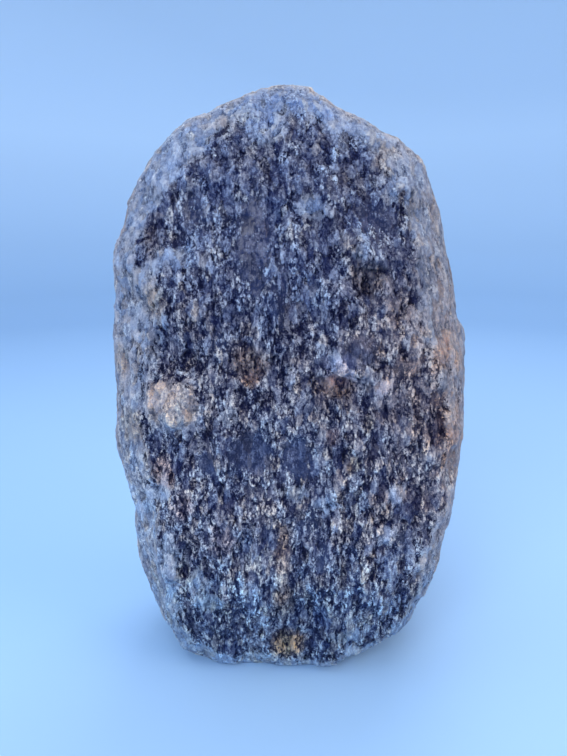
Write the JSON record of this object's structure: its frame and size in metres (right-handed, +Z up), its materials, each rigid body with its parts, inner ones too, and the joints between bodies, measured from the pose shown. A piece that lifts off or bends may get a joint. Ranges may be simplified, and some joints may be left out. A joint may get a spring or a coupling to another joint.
{
  "type": "rock salt",
  "caption": "Upright oval slab of weathered grey rock salt with a pitted front, bevelled edges and a small flat spot underneath that it stands on.",
  "frame": {"origin": "on the floor, under the middle of the stone's bounding box", "axes": "+Z up along the slab's height, +X to the right as the pitted front is looked at, -Y out of the pitted front"},
  "size_m": [0.1552, 0.0902, 0.2493],
  "materials": {
    "grey_halite": "weathered, sugary and slightly glassy"
  },
  "bodies": {
    "root": {"rock_salt": "grey_halite"}
  },
  "joints": []
}
